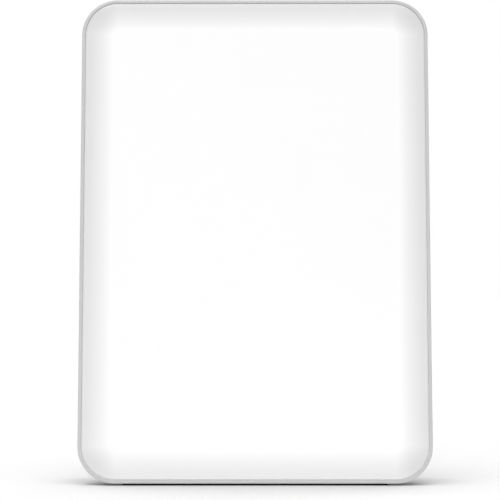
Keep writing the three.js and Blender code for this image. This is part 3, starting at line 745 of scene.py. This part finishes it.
def wellSpots():
    half = panelSize["width"] / 2
    top = panelSize["height"]
    radius = panelSize["cornerRadius"]
    inset = radius - (radius - wellSize["inset"]) * math.sqrt(0.5)
    spots = [(half - inset, inset), (half - inset, top - inset), (half - wellSize["inset"], top / 2)]
    return spots + [(-x, z) for x, z in spots]


def wellCutters(name, radius, depth):
    return [addRound(name, radius, spot, depth) for spot in wellSpots()]


def slotCutter(x):
    size = slotSize
    front = coverSize["back"] - coverSize["wall"] - cutterSize["past"]
    back = coverSize["back"] - coverSize["mouthRounding"]
    piece = addBlock(
        "slotCutter", centred(x, size["width"]), (front, back), centred(size["rise"], size["length"]))
    roundEdges(piece, size["width"] * size["endShare"], size["endSteps"], runsBack)
    return mouthCutter(piece)


def hollowCutter():
    # all that the shell's inside leaves open: the dish, less the recess's tub and the screws' posts
    size = coverSize
    hollow = dish(
        "hollow",
        size["partingStep"] + size["wall"],
        size["front"] - size["hollowAhead"],
        size["back"] - size["wall"],
        size["sweep"] - size["wall"],
    )
    past = size["back"] + cutterSize["tubPast"]
    tubFront = recessSize["floor"] - recessSize["wall"]
    tub = recessBlock("tub", recessSize["wall"], (tubFront, past), recessSize["tubCorner"])
    posts = wellCutters("post", wellSize["post"], (wellSize["front"], past))
    carve(hollow, joinPieces([tub, *posts]))
    return hollow


def recessCutter():
    size = recessSize
    mouth = coverSize["back"] - coverSize["mouthRounding"]
    recess = recessBlock("recess", 0, (size["floor"], mouth), size["corner"])
    floorEdge = size["floor"] + sameSpot
    roundEdges(
        recess, size["floorFillet"], size["filletSteps"],
        lambda a, b: max(a.y, b.y) < floorEdge and max(a.z, b.z) > 0)
    return mouthCutter(recess)


def dimpleCutter(place):
    size = coverSize
    depth = (size["back"] - size["dimpleDepth"], size["back"] - size["mouthRounding"])
    return mouthCutter(addRound("dimple", place["dimple"], place["spot"], depth, place["sides"]))


def boreCutter(place):
    depth = (cutterSize["boreFront"], coverSize["back"] + cutterSize["borePast"])
    return addRound("bore", place["hole"], place["spot"], depth, place["sides"])


def makeCover():
    size = coverSize
    shell = dish("rearShell", size["partingStep"], size["front"], size["back"], size["sweep"])
    carve(shell, hollowCutter())
    print("cover shell hollowed")
    carve(shell, recessCutter())
    print("leg recess cut")
    count = slotSize["count"]
    slots = [slotCutter((i - (count - 1) / 2) * slotSize["pitch"]) for i in range(count)]
    carve(shell, joinPieces(slots))
    wells = wellCutters("well", wellSize["bore"], (wellSize["seat"], size["back"] + cutterSize["past"]))
    carve(shell, joinPieces(wells))
    holes = wellCutters("hole", wellSize["hole"], (wellSize["holeFront"], size["back"]))
    carve(shell, joinPieces(holes))
    carve(shell, joinPieces([dimpleCutter(buttonPlace), dimpleCutter(jackPlace)]))
    carve(shell, joinPieces([boreCutter(buttonPlace), boreCutter(jackPlace)]))
    pinHole = addCrossRound(
        "pinHole", recessSize["pinBore"], recessSize["pinReach"],
        panelSize["hingeDepth"], panelSize["hingeRise"], recessSize["pinSides"])
    carve(shell, pinHole)
    return shell


rearShell = makeCover()
smooth(rearShell, angle=30)
placeOnPanel(rearShell)
dress(rearShell, shellGrey, "panel", "shell_grey", "rear_cover")
print("rear cover made")


# easel leg, modelled hanging straight down from its pin at the origin

legSize = {
    "halfTop": 0.030,
    "halfEnd": 0.0235,
    "back": 0.0037,
    "thickness": 0.006,
    "heel": 0.009,
    "heelCorner": 0.005,
    "heelSteps": 8,
    "end": 0.1571,
    "taperStart": 0.008,
    "barrel": 0.0037,
    "barrelSides": 64,
    "barrelSink": 0.00005,  # keeps the barrel's facets inside the leg's back
    "barrelShort": 0.0002,  # and its ends inside the leg's sides
    "pin": 0.0019,
    "pinSides": 32,
    "cutReach": 0.04,
    "planeDrop": 0.005,  # how far below the pin the heel is planed
    "edge": 0.0006,
}
pocketSize = {
    "count": 4,
    "depth": 0.0036,
    "margin": 0.003,
    "rib": 0.002,
    "corner": 0.002,
    "cornerSteps": 5,
    "ahead": 0.005,
}


def legHalfAt(drop):
    size = legSize
    share = (drop - size["taperStart"]) / (size["end"] - size["taperStart"])
    return size["halfTop"] + (size["halfEnd"] - size["halfTop"]) * max(share, 0)


def legPocket(i):
    size = pocketSize
    first = legSize["taperStart"] + size["margin"]
    pitch = (legSize["end"] - size["margin"] - first + size["rib"]) / size["count"]
    top = first + i * pitch
    bottom = top + pitch - size["rib"]
    front = legSize["back"] - legSize["thickness"]
    half = legHalfAt(top) - size["margin"]
    depth = (front - size["ahead"], front + size["depth"])
    piece = addBlock("pocket", (-half, half), depth, (-bottom, -top))
    narrowEnd(piece, -bottom, (legHalfAt(bottom) - size["margin"]) / half)
    roundEdges(piece, size["corner"], size["cornerSteps"], runsBack)
    return piece


def makeLeg():
    size = legSize
    half = size["halfTop"]
    heel = size["heel"]
    piece = addBlock(
        "easelLeg", (-half, half), (size["back"] - size["thickness"], size["back"]), (-size["end"], heel))
    cutLevel(piece, -size["taperStart"])
    narrowEnd(piece, -size["end"], size["halfEnd"] / half)
    roundEdges(
        piece, size["heelCorner"], size["heelSteps"],
        lambda a, b: runsBack(a, b) and a.z > heel - sameSpot)
    radius = size["barrel"] - size["barrelSink"]
    barrel = addCrossRound("barrel", radius, half - size["barrelShort"], 0, 0, size["barrelSides"])
    carve(piece, barrel, "UNION")
    # the heel's front is planed so that it lies along the recess floor when the leg is out
    reach = size["cutReach"]
    plane = addBlock("heelPlane", (-reach, reach), (-reach, -size["barrel"]), (-size["planeDrop"], reach))
    settle(plane, turn=(-legOpen, 0, 0))
    carve(piece, plane)
    carve(piece, addCrossRound("pinBore", size["pin"], reach, 0, 0, size["pinSides"]))
    carve(piece, joinPieces([legPocket(i) for i in range(pocketSize["count"])]))
    softenEdges(piece, size["edge"])
    return piece


easelLeg = makeLeg()
smooth(easelLeg, angle=30)
placeOnLeg(easelLeg)
dress(easelLeg, shellGrey, "leg", "shell_grey", "stand_leg")
print("leg made")


# rubber tip of the leg

tipSize = {
    "height": 0.012,
    "under": 0.004,  # more than reaches the floor, where it is cut level
    "wrap": 0.0003,
    "gap": 0.0003,
    "corner": 0.007,
    "cornerSteps": 10,
    "edge": 0.0008,
}


def makeTip():
    size = tipSize
    front = legSize["back"] - legSize["thickness"] - size["wrap"]
    back = legSize["back"] + size["wrap"]
    low = -legSize["end"] - size["height"] - size["under"]
    high = -legSize["end"] - size["gap"]
    half = legHalfAt(legSize["end"])
    piece = addBlock("rubberTip", (-half, half), (front, back), (low, high))
    roundEdges(
        piece, size["corner"], size["cornerSteps"],
        lambda a, b: runsBack(a, b) and a.z < low + sameSpot)
    placeOnLeg(piece)
    cutLevel(piece, 0, dropBelow=True)
    softenEdges(piece, size["edge"])
    return piece


rubberTip = makeTip()
smooth(rubberTip)
dress(rubberTip, blackRubberAndShade, "leg", "black_rubber", "leg_tip")
print("leg tip made")


# power button

capSize = {
    "radius": 0.008,
    "flange": 0.0094,
    "flangeDepth": (0.0189, 0.0198),
    "top": 0.0231,
    "edge": 0.0006,
    "edgeSteps": 5,
    "rim": 0.0012,
    "dish": 0.0003,
    "dishRing": 0.0008,
    "dishSteps": 5,
}


def makeButton():
    size = capSize
    piece = addRound(
        "powerCap", size["flange"], buttonPlace["spot"], size["flangeDepth"], buttonPlace["sides"])
    pickCap(piece, toBack=True)
    insetCap(size["flange"] - size["radius"])
    extrudeCap(size["top"] - size["edge"] - size["flangeDepth"][1])
    sweepCap(size["edge"], size["edge"], size["edgeSteps"])
    insetCap(size["rim"])
    for step in range(size["dishSteps"]):
        insetCap(size["dishRing"], -size["dish"] / size["dishSteps"])
    leaveEditMode()
    return piece


powerCap = makeButton()
smooth(powerCap)
placeOnPanel(powerCap)
dress(powerCap, shellGrey, "button", "shell_grey", "power_button")
print("button made")


# inlet

inletSize = {
    "flange": 0.0056,
    "flangeEdge": 0.0003,
    "barrel": 0.004,
    "bore": 0.0028,
    "boreEdge": 0.0002,
    "boreDepth": 0.008,
    "pin": 0.001,
    "pinDrop": 0.0012,
    "pinRounding": 0.0004,
    "seat": 0.022,
    "face": 0.0227,
    "back": 0.0133,
    "edgeSteps": 3,
    "boreSteps": 2,
}


def makeInlet():
    size = inletSize
    edge = size["flangeEdge"]
    piece = addRound("inletSocket", size["barrel"], jackPlace["spot"], (size["back"], size["seat"]))
    pickCap(piece, toBack=True)
    insetCap(size["flange"] - size["barrel"], outward=True)
    extrudeCap(size["face"] - size["seat"] - edge)
    sweepCap(edge, edge, size["edgeSteps"])
    insetCap(size["flange"] - edge - size["bore"] - size["boreEdge"])
    turnInCap(size["boreEdge"], size["boreSteps"])
    extrudeCap(-size["boreDepth"])
    insetCap(size["bore"] - size["pin"])
    extrudeCap(size["boreDepth"] - size["pinDrop"])
    sweepCap(size["pinRounding"], size["pinRounding"], size["edgeSteps"])
    leaveEditMode()
    return piece


inletSocket = makeInlet()
smooth(inletSocket)
placeOnPanel(inletSocket)
dress(inletSocket, blackPlastic, "panel", "black_plastic", "dc_jack")
print("inlet made")


# cover screws, each with a cross recess in its head

screwSize = {
    "count": 6,
    "head": 0.0027,
    "headHeight": 0.0016,
    "domeShare": 0.45,  # of the head's radius
    "domeSteps": 5,
    "shank": 0.0013,
    "sides": 24,
    "seat": 0.0142,
    "tip": 0.0074,
    "slotLength": 0.003,
    "slotWidth": 0.0007,
    "slotDepth": 0.0009,
    "slotPast": 0.002,
    "turn": 0.7,  # in radians, from one screw to the next, so that no two crosses stand alike
}


def makeScrew():
    size = screwSize
    piece = addRound("coverScrew", size["shank"], (0, 0), (size["tip"], size["seat"]), size["sides"])
    pickCap(piece, toBack=True)
    insetCap(size["head"] - size["shank"], outward=True)
    extrudeCap(size["headHeight"] / 2)
    sweepCap(size["head"] * size["domeShare"], size["headHeight"] / 2, size["domeSteps"])
    leaveEditMode()
    top = size["seat"] + size["headHeight"]
    depth = (top - size["slotDepth"], top + size["slotPast"])
    for across, up in ((size["slotLength"], size["slotWidth"]), (size["slotWidth"], size["slotLength"])):
        carve(piece, addBlock("slot", centred(0, across), depth, centred(0, up)))
    return piece


def copyOf(piece, name):
    copy = piece.copy()
    copy.data = piece.data.copy()
    copy.name = name
    bpy.context.collection.objects.link(copy)
    return copy


def nearestSpot(node):
    low, high = (Vector(corner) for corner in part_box(node))
    middle = (low + high) / 2 - panelShift
    up = middle.dot(upDirection)
    return min(wellSpots(), key=lambda spot: math.hypot(middle.x - spot[0], up - spot[1]))


screwPattern = makeScrew()
for number in range(1, screwSize["count"] + 1):
    node = f"cover_screw_{number}"
    x, z = nearestSpot(node)
    screw = copyOf(screwPattern, f"coverScrew{number}")
    settle(screw, (x, 0, z), (0, number * screwSize["turn"], 0))
    smooth(screw)
    placeOnPanel(screw)
    dress(screw, zincSteel, "panel", "steel", node)
bpy.data.objects.remove(screwPattern)
print("screws made")


# finishes of the CAD nodes that stay as they are

slotMaterials = {
    "shell_grey": shellGrey,
    "opal_white": opalAcrylic,
    "bright_white": brightWhite,
    "black_rubber": blackRubberAndShade,
    "black_plastic": blackPlastic,
    "steel": zincSteel,
    "plate_aluminium": millAluminium,
    "circuit_board": solderMask,
    "cable_jacket": cableJacket,
}
slotOf = {part["node"]: part["material_slot"] for part in frame["record"]["subparts"]}
for name, node in frame["nodes"].items():
    for materialSlot in node.material_slots:
        materialSlot.material = slotMaterials[slotOf[name]]
print("finishes given")


# stage: a pale floor that keeps the shadow, on a white background

stageSize = {
    "reach": 12.0,
    "floorColour": 0.98,
    "floorGlow": 0.08,  # lifts the floor to the white of the background where the camera sees it
    "floorBounce": 1.0,
    "floorReturn": 0.06,  # what the floor adds to the light from below
    "floorRoughness": 0.9,
    "worldFront": 0.81,  # the room is dimmer behind the lamp than in front of it
    "worldRear": 0.26,
}
# painted shade in the floor's colour, seen only by the camera: it darkens where the lamp hides the room, wide in
# front of it, close to the contact behind it, and faint and wide on the side away from the light
paintedFloorShades = {
    "front": {"toward": (-0.25, 1, 1), "reach": 0.16, "power": 0.42},
    "behind": {"toward": (-0.1, -1.6, 1), "reach": 0.045, "power": 0.6},
    "beside": {"toward": (-1.5, -1, 0.5), "reach": 0.3, "power": 0.08},
}


def hiddenShade(nodes, links, toward, reach, power):
    heading = nodes.new("ShaderNodeCombineXYZ")
    for socket, value in zip(heading.inputs, Vector(toward).normalized()):
        socket.default_value = value
    closed = nodes.new("ShaderNodeAmbientOcclusion")
    closed.inputs["Distance"].default_value = reach
    links.new(heading.outputs["Vector"], closed.inputs["Normal"])
    return mathNode(nodes, links, "POWER", closed.outputs["AO"], power)


def makeFloor():
    size = stageSize
    clearSelection()
    bpy.ops.mesh.primitive_plane_add(size=size["reach"], location=(0, 0, 0))
    floor = bpy.context.object
    floor.name = "floor"
    material, nodes, links, shader = newMaterial("floorWhite")
    shade = 1.0
    for look in paintedFloorShades.values():
        shade = mathNode(nodes, links, "MULTIPLY", hiddenShade(nodes, links, **look), shade)
    # the camera sees the floor with its painted shade, and the lamp gets the light of an even one
    seen = nodes.new("ShaderNodeLightPath").outputs["Is Camera Ray"]
    shaded = mathNode(nodes, links, "MULTIPLY", shade, size["floorColour"])
    lifted = mathNode(nodes, links, "MULTIPLY", shade, size["floorGlow"])
    colour = rangeNode(nodes, links, seen, size["floorBounce"], shaded)
    glow = rangeNode(nodes, links, seen, size["floorReturn"], lifted)
    links.new(colour, shader.inputs["Base Color"])
    links.new(glow, shader.inputs["Emission Strength"])
    shader.inputs["Emission Color"].default_value = white
    shader.inputs["Roughness"].default_value = size["floorRoughness"]
    shader.inputs["Specular IOR Level"].default_value = 0.0
    floor.data.materials.append(material)


def makeWorld():
    world = bpy.data.worlds.new("studio")
    bpy.context.scene.world = world
    world.use_nodes = True
    nodes = world.node_tree.nodes
    links = world.node_tree.links
    background = nodes["Background"]
    background.inputs["Color"].default_value = white
    # full white where it is seen, directly or in a gloss or through glass
    rays = nodes.new("ShaderNodeLightPath").outputs
    seen = rays["Is Camera Ray"]
    for kind in ("Glossy", "Transmission"):
        seen = mathNode(nodes, links, "MAXIMUM", seen, rays[f"Is {kind} Ray"])
    place = nodes.new("ShaderNodeTexCoord")
    split = nodes.new("ShaderNodeSeparateXYZ")
    links.new(place.outputs["Generated"], split.inputs["Vector"])
    room = rangeNode(
        nodes, links, split.outputs["Y"], stageSize["worldFront"], stageSize["worldRear"], start=-1.0)
    links.new(rangeNode(nodes, links, seen, room, 1.0), background.inputs["Strength"])


# wide, distant lights, so the floor stays even out to the horizon
softLights = {
    "overhead": {"heading": (-0.08, -0.1, 1.7), "spread": 45, "level": 0.37},
    "frontLeft": {"heading": (-0.7, -2.2, 0.2), "spread": 40, "level": 0.12},
    "rearSide": {"heading": (1.4, 1.4, 0.2), "spread": 20, "level": 0.36},
}


def addSoftLight(name, heading, spread, level):
    data = bpy.data.lights.new(name, "SUN")
    data.angle = math.radians(spread)
    data.energy = level * math.pi
    lamp = bpy.data.objects.new(name, data)
    lamp.location = heading
    lamp.rotation_euler = (-Vector(heading)).to_track_quat("-Z", "Y").to_euler()
    bpy.context.collection.objects.link(lamp)


cameraView = {
    "distance": 1.6695,  # in front of the bottom of the lip
    "height": 0.1717,
    "aside": -0.0038,
    "lens": 165.03,
    "sensor": 36.0,
    "clipEnd": 50,
}


def makeCamera():
    view = cameraView
    data = bpy.data.cameras.new("photoView")
    data.lens = view["lens"]
    data.sensor_width = view["sensor"]
    data.clip_end = view["clipEnd"]
    camera = bpy.data.objects.new("photoView", data)
    camera.location = (view["aside"], panelShift.y - view["distance"], view["height"])
    camera.rotation_euler = (math.pi / 2, 0, 0)
    bpy.context.collection.objects.link(camera)
    bpy.context.scene.camera = camera


makeFloor()
makeWorld()
for name, light in softLights.items():
    addSoftLight(name, **light)
makeCamera()
bpy.context.scene.view_settings.view_transform = "Standard"
print("stage and camera set")
